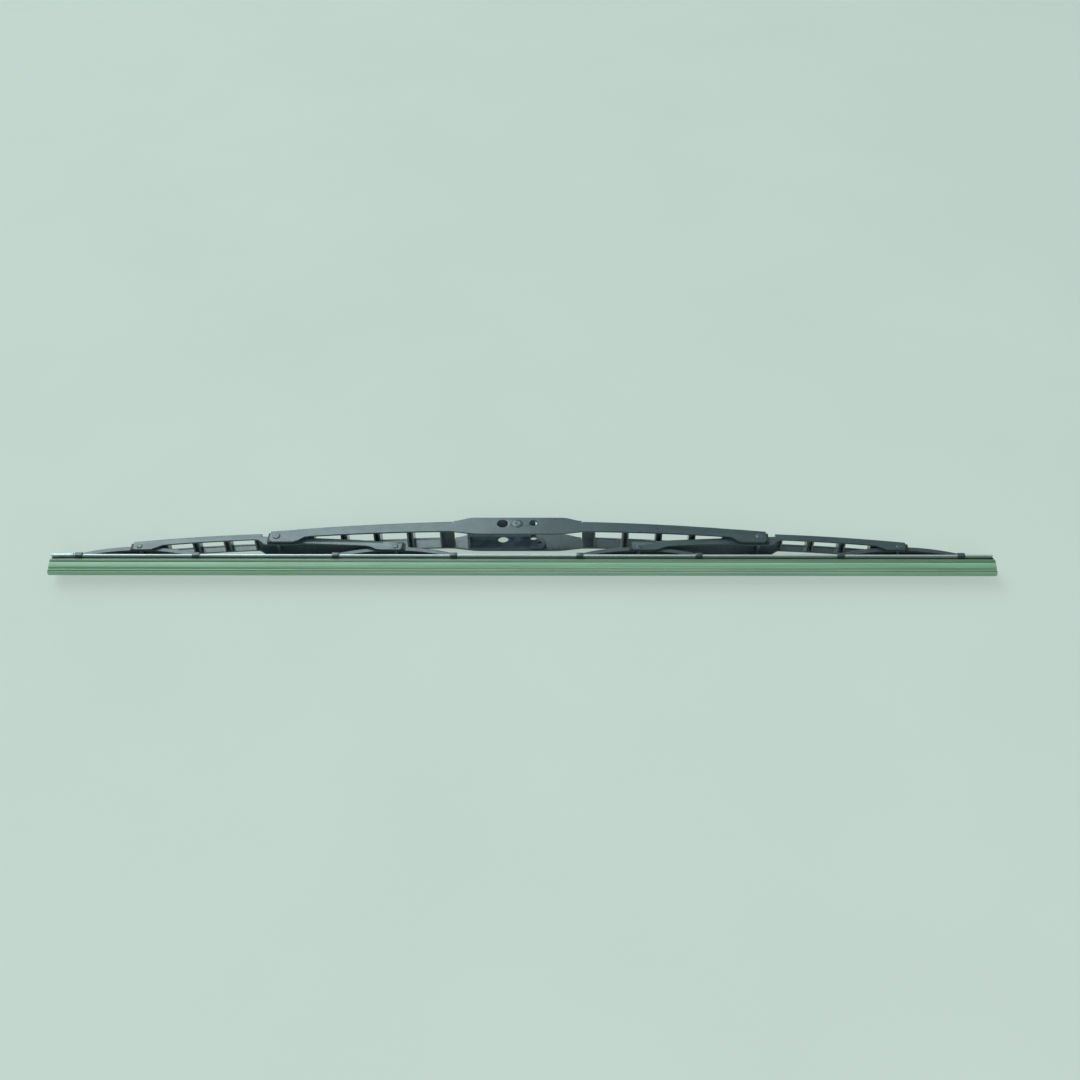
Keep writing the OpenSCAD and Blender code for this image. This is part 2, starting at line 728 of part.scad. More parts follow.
// Rubber with a thin lip, a wedge, a flexible neck and two grooves for the rails
module rubber_strip() {
    tip = guard_wall + lip_gap;
    wedge_y = guard_h - guard_wall - guard_gap - wedge_land;
    clip_end = -strip_half + clip_inset + clip_len;
    color("#1d1f20")
        lay() {
            along(-strip_half, strip_half)
                union() {
                    translate([tip, -lip_w / 2])
                        square([wedge_y - tip, lip_w]);
                    polygon([[wedge_y - wedge_slope, -lip_w / 2], [wedge_y, -wedge_w / 2],
                             [wedge_y + wedge_land, -wedge_w / 2], [wedge_y + wedge_land, wedge_w / 2],
                             [wedge_y, wedge_w / 2], [wedge_y - wedge_slope, lip_w / 2]]);
                    translate([wedge_y, -neck_w / 2])
                        square([rail_seat - wedge_y, neck_w]);
                    translate([guard_h + guard_gap, -base_w / 2])
                        square([rail_seat - guard_h - guard_gap, base_w]);
                    translate([rail_seat - web_root, -rail_web / 2])
                        square([rail_t + web_root, rail_web]);
                }
            along(clip_end + end_gap, strip_half)
                translate([rail_top, -head_w / 2])
                    square([rubber_head, head_w]);
        }
}

// Flat spring steel rail in one groove of the rubber
module steel_rail(side) {
    rail_w = (rails_w - rail_web) / 2;
    color("#c9cccb")
        lay()
            along(-strip_half + end_gap, strip_half - end_gap)
                translate([rail_seat, side > 0 ? rail_web / 2 : -rails_w / 2])
                    square([rail_t, rail_w]);
}

// Sheet clip that closes round both rails at one end of the strip
module rail_end_clip() {
    inner_w = rails_w + 2 * clip_fit;
    roof = rail_top + clip_fit;
    floor_y = rail_seat - clip_fit;
    x0 = -strip_half + clip_inset;
    color("#b4b8b8")
        lay()
            along(x0, x0 + clip_len)
                difference() {
                    translate([roof + clip_t, 0])
                        fold_outline(inner_w + 2 * clip_t, roof - floor_y + 2 * clip_t, clip_t);
                    translate([floor_y, -inner_w / 2])
                        square([roof - floor_y, inner_w]);
                    translate([0, -base_w / 2 - rubber_fit])
                        square([rail_seat, base_w + 2 * rubber_fit]);
                }
}

// Extruded guard pushed over the lip, open along its back
module rubber_guard() {
    slope = (guard_back_w - guard_front_w) / 2 / guard_h;
    front = guard_front_w / 2;
    back = guard_back_w / 2;
    color("#7fb58c")
        lay()
            along(-strip_half + guard_inset, strip_half - guard_inset)
                difference() {
                    polygon([[0, -front], [guard_h, -back], [guard_h, back], [0, front]]);
                    polygon([[guard_wall, -front + guard_wall - slope * guard_wall],
                             [guard_h - guard_wall, -back + guard_wall + slope * guard_wall],
                             [guard_h - guard_wall, back - guard_wall - slope * guard_wall],
                             [guard_wall, front - guard_wall + slope * guard_wall]]);
                    translate([guard_h - guard_wall - over, -guard_slot / 2])
                        square([guard_wall + 2 * over, guard_slot]);
                }
}

main_bridge();
secondary_bridge(-1);  // secondary_bridge_left
secondary_bridge(1);  // secondary_bridge_right
yoke(-outer_x);  // yoke_left_outer
yoke(-inner_x);  // yoke_left_inner
yoke(inner_x);  // yoke_right_inner
yoke(outer_x);  // yoke_right_outer
hub_pin();
bridge_rivet(-1);  // bridge_rivet_left
bridge_rivet(1);  // bridge_rivet_right
yoke_rivet(-outer_x);  // yoke_rivet_left_outer
yoke_rivet(-inner_x);  // yoke_rivet_left_inner
yoke_rivet(inner_x);  // yoke_rivet_right_inner
yoke_rivet(outer_x);  // yoke_rivet_right_outer
bridge_liner(-1);  // bridge_liner_left
bridge_liner(1);  // bridge_liner_right
outer_liner(-1);  // yoke_liner_left_outer
inner_liner(-1);  // yoke_liner_left_inner
inner_liner(1);  // yoke_liner_right_inner
outer_liner(1);  // yoke_liner_right_outer
hook_adapter();
rubber_strip();
steel_rail(1);  // steel_rail_upper
steel_rail(-1);  // steel_rail_lower
rail_end_clip();
rubber_guard();
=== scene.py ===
"""Dresses a windscreen wiper blade with a pressed steel bridge frame, which lies on a pale table."""

import math

import bmesh
import bpy
from bpy.props import FloatProperty, FloatVectorProperty, IntProperty, PointerProperty
from bpy.types import Operator, Panel, PropertyGroup
from mathutils import Matrix, Vector


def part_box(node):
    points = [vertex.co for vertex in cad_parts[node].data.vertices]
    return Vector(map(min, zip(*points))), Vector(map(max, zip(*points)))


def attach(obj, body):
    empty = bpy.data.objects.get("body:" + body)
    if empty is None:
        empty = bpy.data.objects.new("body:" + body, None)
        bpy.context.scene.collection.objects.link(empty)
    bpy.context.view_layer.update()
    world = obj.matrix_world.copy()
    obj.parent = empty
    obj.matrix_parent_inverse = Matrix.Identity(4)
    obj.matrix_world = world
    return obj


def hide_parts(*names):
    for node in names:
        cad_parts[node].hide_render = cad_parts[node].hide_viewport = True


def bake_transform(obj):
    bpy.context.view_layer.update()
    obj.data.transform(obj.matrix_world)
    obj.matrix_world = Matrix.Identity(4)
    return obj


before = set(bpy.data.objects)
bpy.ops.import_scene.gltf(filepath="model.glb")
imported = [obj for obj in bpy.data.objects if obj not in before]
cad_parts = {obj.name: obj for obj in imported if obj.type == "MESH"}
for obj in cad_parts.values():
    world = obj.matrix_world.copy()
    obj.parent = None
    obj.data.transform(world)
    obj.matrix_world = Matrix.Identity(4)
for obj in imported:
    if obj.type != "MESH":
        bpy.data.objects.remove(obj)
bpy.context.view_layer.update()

bl_info = {
    "name": "Bridge frame wiper blade",
    "version": (1, 0, 0),
    "blender": (4, 5, 0),
    "location": "3D View > Sidebar > Wiper blade",
    "description": "Dresses the packed wiper blade and sets up its studio stage",
    "category": "Object",
}

MM = 0.001


def centre(node):
    """Middle of a CAD node's box."""
    low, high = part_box(node)
    return (low + high) / 2


# The blade lies on its side: X runs along it, Y from the lip to the back, and Z is across it
LIP_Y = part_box("rubber_guard")[0].y
MID_Z = centre("main_bridge").z
STRIP_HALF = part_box("rubber_strip")[1].x
RAIL_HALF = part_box("steel_rail_upper")[1].x

# Where the bridges turn, and the claws between which the strip bends
BRIDGE_PIVOT = centre("bridge_rivet_right").x
CLAW_HALF = 2 * MM
OUTER_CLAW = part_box("yoke_right_outer")[0].x + CLAW_HALF
INNER_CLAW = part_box("yoke_right_inner")[1].x - CLAW_HALF

# The guard runs from the outer end of the clip and covers both ends of the rubber
GUARD_SETBACK = 0.3 * MM
GUARD_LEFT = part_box("rail_end_clip")[0].x
GUARD_RIGHT = STRIP_HALF - GUARD_SETBACK
END_COVER = 0.2 * MM

# The head of the rubber stops short of the clip, whose roof lies right on the rails
CLIP_GAP = 1 * MM
HEAD_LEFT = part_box("rail_end_clip")[1].x + CLIP_GAP

# X, Y and radius of the side pin holes in the hub
SIDE_HOLES = ((-9 * MM, 14.75 * MM, 3.3 * MM), (9.2 * MM, 15.35 * MM, 2.45 * MM))

# Shank radii of the hub pin and the rivets
PIN_SHANK = 2.4 * MM
BRIDGE_SHANK = 1.5 * MM
YOKE_SHANK = 0.95 * MM

# The strip is drawn in four butted lengths, one for each yoke: where a length starts and ends, and the
# claw up to which it bends
REACHES = {
    "left_outer": (-STRIP_HALF, -BRIDGE_PIVOT, -OUTER_CLAW),
    "left_inner": (-BRIDGE_PIVOT, 0.0, -INNER_CLAW),
    "right_inner": (0.0, BRIDGE_PIVOT, INNER_CLAW),
    "right_outer": (BRIDGE_PIVOT, STRIP_HALF, OUTER_CLAW),
}
YOKES = tuple(REACHES)
SIDES = ("left", "right")


def secondary(place):
    """Body of the secondary bridge that carries the yoke at a place."""
    return "secondary_" + place.split("_")[0]


def linear(hexcode):
    """An sRGB hex colour as the linear RGBA that Blender uses."""
    shares = [int(hexcode[i : i + 2], 16) / 255 for i in (1, 3, 5)]
    return tuple(c / 12.92 if c <= 0.04045 else ((c + 0.055) / 1.055) ** 2.4 for c in shares) + (1.0,)


def colour_property(name, description, hexcode):
    return FloatVectorProperty(
        name=name,
        description=description,
        default=linear(hexcode),
        size=4,
        min=0,
        max=1,
        subtype="COLOR",
    )


def length_property(name, description, millimetres):
    return FloatProperty(
        name=name,
        description=description,
        default=millimetres * MM,
        min=0,
        unit="LENGTH",
        precision=5,
    )


def angle_property(name, description, degrees):
    return FloatProperty(
        name=name, description=description, default=math.radians(degrees), subtype="ANGLE"
    )


def power_property(name, description, watts):
    return FloatProperty(name=name, description=description, default=watts, min=0, unit="POWER")


class BladeSizes(PropertyGroup):
    """Sizes of the details that are added to the CAD forms."""

    edge_round: length_property("Edge round", "Width of the rounding on sheared and moulded edges", 0.12)
    hole_round: length_property("Hole round", "Width of the rolled rim of the side pin holes", 0.35)
    strip_step: length_property("Strip step", "Distance between the strip's cross sections", 4)
    rail_round: length_property("Rail round", "Radius of the rolled edges of the rails", 0.2)
    guard_lip: length_property("Guard lip", "Reach of the two lips at the back of the guard", 1.5)
    guard_groove: length_property("Guard groove", "Depth of the grooves along the guard's sides", 0.7)
    head_height: length_property("Head height", "Height of a rivet head over its flange", 0.5)
    peen_depth: length_property("Peen depth", "Depth of the dimple in a rivet head", 0.03)
    head_sides: IntProperty(
        name="Head sides", description="Sides of a rivet head", default=40, min=12, max=96
    )


class BladeColours(PropertyGroup):
    """Colours of the finishes."""

    enamel: colour_property("Enamel", "Black stoved enamel of the bridges", "#33474b")
    yoke: colour_property("Yoke enamel", "Black stoved enamel of the yokes", "#324245")
    rivet: colour_property("Rivet enamel", "Painted heads of the rivets", "#384a4f")
    nylon: colour_property("Nylon", "Black nylon of the liners", "#1b1f21")
    acetal: colour_property("Acetal", "Black acetal of the hook adapter", "#435560")
    rubber: colour_property("Rubber", "Black rubber of the wiping strip", "#222b29")
    steel: colour_property("Rail steel", "Spring steel of the rails", "#b9ccc7")
    clip: colour_property("Clip steel", "Plated steel of the end clip", "#a9b9b5")
    vinyl: colour_property("Guard vinyl", "Green vinyl of the guard", "#8bbc9b")
    table: colour_property("Table", "Pale table top", "#ccd8d1")
    table_glow: colour_property("Table glow", "Glow of the table top where it is seen", "#c2d4cc")
    key: colour_property("Key light", "Cool light from the back left", "#e4fbff")
    sky: colour_property("Sky", "Light of the room", "#e6efeb")


class StageSettings(PropertyGroup):
    """Camera and lights."""

    image_side: IntProperty(
        name="Image side", description="Side of the square picture", default=1080, subtype="PIXEL"
    )
    focal_pixels: FloatProperty(
        name="Focal length", description="Focal length in picture pixels", default=1200, subtype="PIXEL"
    )
    camera_place: FloatVectorProperty(
        name="Camera place",
        description="Where the camera stands",
        default=(0.0273, -0.4995, 0.5044),
        unit="LENGTH",
        subtype="XYZ",
    )
    camera_yaw: angle_property("Yaw", "Turn of the view to the right", -1.59)
    camera_pitch: angle_property("Pitch", "Tilt of the view downwards", 44.35)
    camera_roll: angle_property("Roll", "Roll of the picture", -1.08)
    key_watts: power_property("Key light", "Power of the soft light at the back left", 95)
    top_watts: power_property("Top light", "Power of the soft light overhead", 12)
    front_watts: power_property("Front light", "Power of the soft light in front", 16)
    sky_strength: FloatProperty(
        name="Sky strength", description="Brightness of the room light", default=0.37, min=0
    )


def sizes():
    return bpy.context.scene.blade_sizes


def colours():
    return bpy.context.scene.blade_colours


# Materials


def add(tree, kind, links=(), values=(), **settings):
    """Adds a node with its settings, its socket values and the outputs linked to its sockets."""
    node = tree.nodes.new(kind)
    for key, value in settings.items():
        setattr(node, key, value)
    for socket, value in dict(values).items():
        node.inputs[socket].default_value = value
    for socket, output in dict(links).items():
        tree.links.new(output, node.inputs[socket])
    return node


def shade(colour, factor):
    """A colour made lighter or darker by a factor."""
    return tuple(min(1.0, c * factor) for c in colour[:3]) + (1.0,)


def grain(tree, size_mm, stretch, detail):
    """Noise in Object coordinates with lumps of about size_mm, drawn out along an axis by stretch."""
    place = add(tree, "ShaderNodeTexCoord")
    scale = add(
        tree,
        "ShaderNodeMapping",
        {"Vector": place.outputs["Object"]},
        {"Scale": tuple(1 / s for s in stretch)},
    )
    return add(
        tree,
        "ShaderNodeTexNoise",
        {"Vector": scale.outputs["Vector"]},
        {"Scale": 1 / (size_mm * MM), "Detail": detail},
    ).outputs["Fac"]


# Nearly all values of a noise lie between these two
NOISE_LOW = 0.35
NOISE_HIGH = 0.65


def patches(tree, size_mm, stretch, detail, low, high):
    """Grain whose values run from low to high."""
    return add(
        tree,
        "ShaderNodeMapRange",
        {"Value": grain(tree, size_mm, stretch, detail)},
        {"From Min": NOISE_LOW, "From Max": NOISE_HIGH, "To Min": low, "To Max": high},
    ).outputs["Result"]


# Octaves of noise in the colour, the roughness and the relief of a finish
COLOUR_DETAIL = 3
ROUGH_DETAIL = 5
BUMP_DETAIL = 2


def surface(name, colour, values, variation, rough, bump, stretch=(1, 1, 1)):
    """A Principled material that varies on the scales given in millimetres.

    variation is the size of its patches with their darkest and lightest tone, rough the size of
    its patches with their lowest and highest roughness, and bump the width and height of its lumps.
    """
    material = bpy.data.materials.new(name)
    material.use_nodes = True
    tree = material.node_tree
    shader = tree.nodes["Principled BSDF"]
    for socket, value in values.items():
        shader.inputs[socket].default_value = value

    patch, dark, light = variation
    paint = add(
        tree,
        "ShaderNodeMix",
        {"Factor": patches(tree, patch, stretch, COLOUR_DETAIL, 0, 1)},
        {6: shade(colour, dark), 7: shade(colour, light)},
        data_type="RGBA",
    )
    tree.links.new(paint.outputs[2], shader.inputs["Base Color"])

    patch, low, high = rough
    gloss = patches(tree, patch, stretch, ROUGH_DETAIL, low, high)
    tree.links.new(gloss, shader.inputs["Roughness"])

    patch, height = bump
    lumps = add(
        tree,
        "ShaderNodeBump",
        {"Height": grain(tree, patch, stretch, BUMP_DETAIL)},
        {"Strength": 1.0, "Distance": height * MM},
    )
    tree.links.new(lumps.outputs["Normal"], shader.inputs["Normal"])
    return material


def bridge_enamel():
    # Stoved gloss enamel on pressed steel: dark, evenly shiny, with a faint orange peel
    return surface(
        "gloss_black_enamel",
        colours().enamel,
        {"IOR": 1.52, "Coat Weight": 0.6, "Coat Roughness": 0.16, "Coat IOR": 1.5},
        variation=(14, 0.86, 1.14),
        rough=(5, 0.27, 0.4),
        bump=(1.1, 0.004),
    )


def yoke_enamel():
    # The same enamel in a thinner coat on the small stampings: a little duller and less even
    return surface(
        "satin_black_enamel",
        colours().yoke,
        {"IOR": 1.52, "Coat Weight": 0.6, "Coat Roughness": 0.2},
        variation=(9, 0.85, 1.15),
        rough=(4, 0.3, 0.45),
        bump=(0.9, 0.004),
    )


def rivet_enamel():
    # Painted rivet steel: the paint is thin on the crown, so it is lighter and shinier
    return surface(
        "painted_rivet_steel",
        colours().rivet,
        {"IOR": 1.52, "Coat Weight": 0.6, "Coat Roughness": 0.12},
        variation=(1.5, 0.8, 1.3),
        rough=(1.2, 0.24, 0.42),
        bump=(0.5, 0.006),
    )


def liner_nylon():
    # Injection moulded nylon: deep black with a waxy sheen
    return surface(
        "black_nylon",
        colours().nylon,
        {"IOR": 1.53, "Sheen Weight": 0.05},
        variation=(3, 0.85, 1.2),
        rough=(1.5, 0.42, 0.58),
        bump=(0.35, 0.008),
    )


def adapter_acetal():
    # Moulded acetal from an eroded tool: fine even grain that breaks up the reflection
    return surface(
        "black_acetal",
        colours().acetal,
        {"IOR": 1.48},
        variation=(4, 0.85, 1.2),
        rough=(1.2, 0.34, 0.5),
        bump=(0.3, 0.012),
    )


def wiper_rubber():
    # Moulded natural rubber: matt, with a dusting of bloom
    return surface(
        "wiper_rubber",
        colours().rubber,
        {"IOR": 1.52, "Specular IOR Level": 0.35},
        variation=(2.5, 0.8, 1.3),
        rough=(1.0, 0.6, 0.8),
        bump=(0.4, 0.01),
        stretch=(6, 1, 1),
    )


def rail_steel():
    # Cold drawn spring steel strip: pale, with drawing lines along its length
    return surface(
        "drawn_spring_steel",
        colours().steel,
        {"Metallic": 0.6, "Anisotropic": 0.3},
        variation=(0.5, 0.9, 1.06),
        rough=(0.35, 0.36, 0.5),
        bump=(0.3, 0.004),
        stretch=(60, 1, 1),
    )


def clip_steel():
    # Zinc plated pressed sheet: grey spangle a couple of millimetres across
    return surface(
        "zinc_plated_sheet",
        colours().clip,
        {"Metallic": 0.65},
        variation=(1.8, 0.84, 1.1),
        rough=(0.8, 0.34, 0.5),
        bump=(0.5, 0.006),
    )


# Height over the lip in millimetres, and tone of the vinyl there: painted shade in the three grooves and
# painted highlight on the ribs between them, partly also the dark rubber seen through the thinner wall in
# the grooves
GROOVE_SHADE_TONES = (
    (0, 0.85), (0.45, 1.0), (0.9, 0.35), (1.3, 0.6), (1.75, 1.15), (2.15, 0.8), (2.6, 0.4), (3.1, 0.85),
    (4.6, 1.0), (5.7, 1.3), (6.15, 0.8), (6.6, 0.3), (7.1, 0.6), (7.5, 0.5), (9, 0.55),
)


def guard_vinyl():
    # Extruded soft vinyl: milky green that lets light through, with die lines along its length
    material = surface(
        "green_extruded_vinyl",
        colours().vinyl,
        {
            "IOR": 1.53,
            "Transmission Weight": 0.22,
            "Subsurface Weight": 0.35,
            "Subsurface Radius": (0.6, 1.0, 0.7),
            "Subsurface Scale": 1.2 * MM,
        },
        variation=(0.45, 0.86, 1.1),
        rough=(0.4, 0.28, 0.42),
        bump=(0.35, 0.02),
        stretch=(120, 1, 1),
    )
    # The tones below paint shade into the grooves and highlights onto the ribs, over the vinyl's own
    # colour
    tree = material.node_tree
    shader = tree.nodes["Principled BSDF"]
    shade_top = GROOVE_SHADE_TONES[-1][0]
    place = add(tree, "ShaderNodeTexCoord").outputs["Object"]
    height = add(tree, "ShaderNodeSeparateXYZ", {"Vector": place}).outputs["Y"]
    share = add(
        tree,
        "ShaderNodeMapRange",
        {"Value": height},
        {"From Min": LIP_Y, "From Max": LIP_Y + shade_top * MM},
    ).outputs["Result"]
    shade_bands = add(tree, "ShaderNodeValToRGB", {"Fac": share})
    ramp = shade_bands.color_ramp
    while len(ramp.elements) < len(GROOVE_SHADE_TONES):
        ramp.elements.new(0.5)
    for element, (y, tone) in zip(ramp.elements, GROOVE_SHADE_TONES):
        element.position = y / shade_top
        element.color = (tone, tone, tone, 1)
    plain = shader.inputs["Base Color"].links[0].from_socket
    shaded_vinyl = add(
        tree,
        "ShaderNodeMix",
        {6: plain, 7: shade_bands.outputs["Color"]},
        {"Factor": 1.0},
        data_type="RGBA",
        blend_type="MULTIPLY",
    )
    tree.links.new(shaded_vinyl.outputs[2], shader.inputs["Base Color"])
    return material


# Share of the table's look that is its own glow
TABLE_GLOW = 0.66


def table_top():
    # Matt painted board with a faint cloudiness. It glows where it is seen, so that shadows stay light
    material = surface(
        "pale_painted_board",
        colours().table,
        {"IOR": 1.45, "Specular IOR Level": 0.2},
        variation=(160, 0.97, 1.03),
        rough=(30, 0.7, 0.85),
        bump=(1.5, 0.01),
    )
    tree = material.node_tree
    rays = add(tree, "ShaderNodeLightPath").outputs
    seen = rays["Is Camera Ray"]
    for ray in ("Is Glossy Ray", "Is Transmission Ray"):
        seen = add(
            tree, "ShaderNodeMath", {0: seen, 1: rays[ray]}, operation="MAXIMUM"
        ).outputs["Value"]
    share = add(
        tree, "ShaderNodeMath", {0: seen}, {1: TABLE_GLOW}, operation="MULTIPLY"
    ).outputs["Value"]
    glow = add(tree, "ShaderNodeEmission", values={"Color": colours().table_glow})
    mix = add(
        tree,
        "ShaderNodeMixShader",
        {0: share, 1: tree.nodes["Principled BSDF"].outputs["BSDF"], 2: glow.outputs["Emission"]},
    )
    tree.links.new(mix.outputs["Shader"], tree.nodes["Material Output"].inputs["Surface"])
    return material


FINISHES = {}


def finish(make):
    """The material that a function makes, made once."""
    if make.__name__ not in FINISHES:
        FINISHES[make.__name__] = make()
    return FINISHES[make.__name__]


# Meshes

# Points closer than this are one point, on CAD copies and rivets, and on what a tree has made
WELD = 0.002 * MM
FINE_WELD = 0.0005 * MM

# CAD triangles within FACET_ANGLE are one face, edges past SHARP_ANGLE are rounded, and edges past
# SMOOTH_ANGLE stay sharp in the shading
FACET_ANGLE = math.radians(0.2)
SHARP_ANGLE = math.radians(38)
SMOOTH_ANGLE = math.radians(32)

# A large flat face is shaded flat, up to its edges with faces this many times smaller
LARGE_AREA = (6 * MM) ** 2
LARGE_RATIO = 20
FLAT_ANGLE = math.radians(1)

# How far the points of a hole's rim may lie from its level and its circle
RIM_DEPTH = 0.02 * MM
RIM_WIDTH = 0.1 * MM


def new_object(name, data):
    thing = bpy.data.objects.new(name, data)
    bpy.context.scene.collection.objects.link(thing)
    return thing


def set_smooth(mesh):
    """Smooth shading, but sharp at sharp edges and round the large flat faces."""
    form = bmesh.new()
    form.from_mesh(mesh)
    for face in form.faces:
        face.smooth = True
    for edge in form.edges:
        bend = edge.calc_face_angle(0)
        areas = [face.calc_area() for face in edge.link_faces]
        uneven = max(areas) > LARGE_AREA and max(areas) > LARGE_RATIO * min(areas)
        edge.smooth = bend < SMOOTH_ANGLE and not (uneven and bend > FLAT_ANGLE)
    form.to_mesh(mesh)
    form.free()


def round_edges(form, edges, width):
    bmesh.ops.bevel(
        form, geom=edges, offset=width, segments=2, profile=0.6, affect="EDGES", clamp_overlap=True
    )


def rim_edges(form, holes):
    """Edges round the holes, given as (x, y, radius), where they open on top."""
    top = max(vertex.co.z for vertex in form.verts)

    def on_rim(vertex, x, y, radius):
        off_circle = math.hypot(vertex.co.x - x, vertex.co.y - y) - radius
        return abs(vertex.co.z - top) < RIM_DEPTH and abs(off_circle) < RIM_WIDTH

    return [
        edge
        for edge in form.edges
        if any(all(on_rim(vertex, *hole) for vertex in edge.verts) for hole in holes)
    ]


def dressed(node, make, body, holes=()):
    """A copy of a CAD node with rounded edges, which stands for it. Its holes get a rolled rim."""
    form = bmesh.new()
    form.from_mesh(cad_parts[node].data)
    bmesh.ops.remove_doubles(form, verts=form.verts, dist=WELD)
    bmesh.ops.dissolve_limit(
        form, angle_limit=FACET_ANGLE, verts=form.verts, edges=form.edges, delimit=set()
    )
    rims = rim_edges(form, holes)
    sharp = [
        edge
        for edge in form.edges
        if edge not in rims and len(edge.link_faces) == 2 and edge.calc_face_angle(0) > SHARP_ANGLE
    ]
    if rims:
        round_edges(form, rims, sizes().hole_round)
        sharp = [edge for edge in sharp if edge.is_valid]
    round_edges(form, sharp, sizes().edge_round)
    mesh = bpy.data.meshes.new(node + "_dressed")
    form.to_mesh(mesh)
    form.free()
    set_smooth(mesh)
    mesh.materials.append(finish(make))
    thing = new_object(node + "_dressed", mesh)
    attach(thing, body)
    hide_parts(node)


def group_tree(name, inputs):
    """An empty Geometry Nodes tree with a geometry input and the named number inputs."""
    tree = bpy.data.node_groups.new(name, "GeometryNodeTree")
    tree.interface.new_socket("Profile", in_out="INPUT", socket_type="NodeSocketGeometry")
    for label in inputs:
        tree.interface.new_socket(label, in_out="INPUT", socket_type="NodeSocketFloat")
    tree.interface.new_socket("Material", in_out="INPUT", socket_type="NodeSocketMaterial")
    tree.interface.new_socket("Geometry", in_out="OUTPUT", socket_type="NodeSocketGeometry")
    return tree


def close_tree(tree, geometry, group_in):
    """Ends a tree with Realize Instances and Set Material."""
    real = add(tree, "GeometryNodeRealizeInstances", {"Geometry": geometry})
    painted = add(
        tree,
        "GeometryNodeSetMaterial",
        {"Geometry": real.outputs["Geometry"], "Material": group_in.outputs["Material"]},
    )
    add(tree, "NodeGroupOutput", {"Geometry": painted.outputs["Geometry"]})


def extrusion_tree():
    """Draws a closed profile along X from Start to End, with a cross section at every Step."""
    if "Extrusion" in bpy.data.node_groups:
        return bpy.data.node_groups["Extrusion"]
    tree = group_tree("Extrusion", ("Start", "End", "Step"))
    group_in = add(tree, "NodeGroupInput")
    start, end = (
        add(tree, "ShaderNodeCombineXYZ", {"X": group_in.outputs[label]}).outputs["Vector"]
        for label in ("Start", "End")
    )
    line = add(tree, "GeometryNodeCurvePrimitiveLine", {"Start": start, "End": end})
    path = add(
        tree,
        "GeometryNodeResampleCurve",
        {"Curve": line.outputs["Curve"], "Length": group_in.outputs["Step"]},
        mode="LENGTH",
    )
    upright = add(tree, "GeometryNodeSetCurveNormal", {"Curve": path.outputs["Curve"]}, mode="Z_UP")
    outline = add(tree, "GeometryNodeMeshToCurve", {"Mesh": group_in.outputs["Profile"]})
    swept = add(
        tree,
        "GeometryNodeCurveToMesh",
        {"Curve": upright.outputs["Curve"], "Profile Curve": outline.outputs["Curve"]},
        {"Fill Caps": True},
    )
    close_tree(tree, swept.outputs["Mesh"], group_in)
    return tree


def rivet_tree():
    """Sets the head that comes in on both ends of a shank that runs along Z."""
    if "Rivet" in bpy.data.node_groups:
        return bpy.data.node_groups["Rivet"]
    tree = group_tree("Rivet", ("Grip", "Shank radius", "Sides"))
    group_in = add(tree, "NodeGroupInput")
    grip = group_in.outputs["Grip"]
    half = add(tree, "ShaderNodeMath", {0: grip}, {1: 0.5}, operation="MULTIPLY").outputs["Value"]
    top = add(tree, "ShaderNodeCombineXYZ", {"Z": half}).outputs["Vector"]
    head = add(
        tree, "GeometryNodeTransform", {"Geometry": group_in.outputs["Profile"], "Translation": top}
    ).outputs["Geometry"]
    turned = add(
        tree, "GeometryNodeTransform", {"Geometry": head}, {"Rotation": (math.pi, 0, 0)}
    ).outputs["Geometry"]
    radius = group_in.outputs["Shank radius"]
    shank = add(
        tree,
        "GeometryNodeMeshCylinder",
        {"Vertices": group_in.outputs["Sides"], "Radius": radius, "Depth": grip},
        fill_type="NONE",
    ).outputs["Mesh"]
    joined = add(tree, "GeometryNodeJoinGeometry")
    for piece in (head, turned, shank):
        tree.links.new(piece, joined.inputs["Geometry"])
    merged = add(
        tree,
        "GeometryNodeMergeByDistance",
        {"Geometry": joined.outputs["Geometry"]},
        {"Distance": WELD},
    )
    close_tree(tree, merged.outputs["Geometry"], group_in)
    return tree


def grown(name, tree, base_mesh, values, material, place=(0, 0, 0)):
    """Runs a tree on a base mesh and returns its result as a plain mesh object at the origin."""
    source = new_object(name + "_source", base_mesh)
    modifier = source.modifiers.new("Form", "NODES")
    modifier.node_group = tree
    inputs = {**values, "Material": material}
    for item in tree.interface.items_tree:
        if item.in_out == "INPUT" and item.name in inputs:
            modifier[item.identifier] = inputs[item.name]
    evaluated = source.evaluated_get(bpy.context.evaluated_depsgraph_get())
    mesh = bpy.data.meshes.new_from_object(evaluated)
    mesh.name = name
    mesh.transform(Matrix.Translation(place))
    source.modifiers.remove(modifier)
    bpy.data.objects.remove(source)
    form = bmesh.new()
    form.from_mesh(mesh)
    bmesh.ops.remove_doubles(form, verts=form.verts, dist=FINE_WELD)
    bmesh.ops.recalc_face_normals(form, faces=form.faces)
    form.to_mesh(mesh)
    form.free()
    set_smooth(mesh)
    if material.name not in mesh.materials:
        mesh.materials.clear()
        mesh.materials.append(material)
    return new_object(name, mesh)


def profile_mesh(name, points):
    """Closed outline of (height over the lip, side) points, turned the way the sweep along X needs it."""
    mesh = bpy.data.meshes.new(name)
    ring = [(-(LIP_Y + y), -(MID_Z + z), 0) for y, z in points]
    mesh.from_pydata(ring, [(i, (i + 1) % len(ring)) for i in range(len(ring))], [])
    return mesh


def mirrored(half):
    """A closed outline in metres from the points of one side of a section in millimetres."""
    points = [(y * MM, z * MM) for y, z in half]
    return points + [(y, -z) for y, z in reversed(points)]


def draw_strip(name, node, points, make, first, last):
    """Draws a section from first to last in four butted lengths."""
    profile = profile_mesh(name + "_profile", points)
    for place, (start, end, claw) in REACHES.items():
        values = {"Start": max(start, first), "End": min(end, last), "Step": sizes().strip_step}
        piece = grown(name + "_" + place, extrusion_tree(), profile.copy(), values, finish(make))
        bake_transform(piece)
        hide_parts(node)


